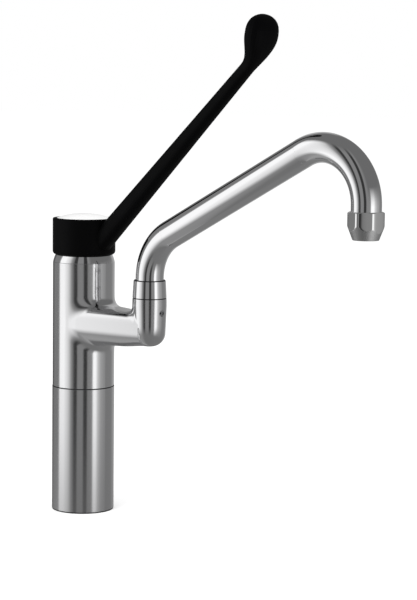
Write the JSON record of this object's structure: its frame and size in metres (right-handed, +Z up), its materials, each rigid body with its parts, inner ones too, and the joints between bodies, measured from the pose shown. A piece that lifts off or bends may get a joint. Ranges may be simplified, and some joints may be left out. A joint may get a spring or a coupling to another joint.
{
  "type": "single-lever mixer tap",
  "caption": "Tall chrome kitchen mixer tap with a swivelling swan-neck spout on a side arm and a long black hygiene lever on top.",
  "frame": {"origin": "on the body axis, at the deck face of the foot seal", "axes": "+Z up along the body; +X from the body towards the side arm, the spout and the lever; +Y to the left of somebody who looks along +X"},
  "size_m": [0.32, 0.0502, 0.3951],
  "materials": {
    "brushed_column": "satin, fine grain round the column",
    "chrome_cast": "polished chrome plate on a brass casting",
    "chrome_tube": "polished chrome plate on brass tube",
    "chrome_trim": "polished chrome",
    "black_coat": "matt black powder coat",
    "black_rubber": "matt",
    "white_plastic": "matt",
    "blue_plastic": "matt",
    "black_plastic": "matt",
    "ceramic": "polished alumina",
    "bare_brass": "turned brass",
    "bright_steel": "machined steel"
  },
  "bodies": {
    "body": {"base_column": "brushed_column", "deck_seal": "black_rubber", "centring_ring": "white_plastic", "column_o_ring": "black_rubber", "valve_body": "chrome_cast", "cartridge_base": "white_plastic", "port_seal_hot": "black_rubber", "port_seal_cold": "black_rubber", "port_seal_mix": "black_rubber", "fixed_disc": "ceramic", "cartridge_housing": "white_plastic", "cartridge_nut": "bare_brass", "dome_ring": "chrome_trim", "glide_ring": "black_plastic", "grub_screw": "bright_steel"},
    "turret": {"rotor": "blue_plastic", "pivot_pin": "bright_steel"},
    "handle": {"stem": "bare_brass", "lever": "black_coat", "lever_screw": "bright_steel", "hub_cap": "chrome_trim"},
    "slider": {"moving_disc": "ceramic", "disc_carrier": "blue_plastic"},
    "spout": {"spout_collar": "chrome_trim", "collar_ring": "black_plastic", "spout_spigot": "bare_brass", "spigot_o_ring_low": "black_rubber", "spigot_o_ring_high": "black_rubber", "spout_tube": "chrome_tube", "aerator_nut": "chrome_trim", "aerator_insert": "white_plastic", "aerator_seal": "black_rubber"}
  },
  "joints": [
    {"name": "lever_turn", "type": "hinge", "parent": "body", "child": "turret", "pos_m": [0, 0, 0.1955], "axis": [0, 0, 1], "range_deg": [-45, 45]},
    {"name": "lever_lift", "type": "hinge", "parent": "turret", "child": "handle", "pos_m": [0, 0, 0.1955], "axis": [0, -1, 0], "range_deg": [0, 25]},
    {"name": "disc_slide", "type": "slide", "parent": "turret", "child": "slider", "axis": [1, 0, 0], "range_m": [0, 0.0035]},
    {"name": "spout_swivel", "type": "hinge", "parent": "body", "child": "spout", "pos_m": [0.073, 0, 0.177], "axis": [0, 0, 1], "range_deg": [-90, 90]}
  ],
  "couplings": [
    {"joint": "disc_slide", "follows": "lever_lift", "m_per_rad": 0.0078}
  ]
}
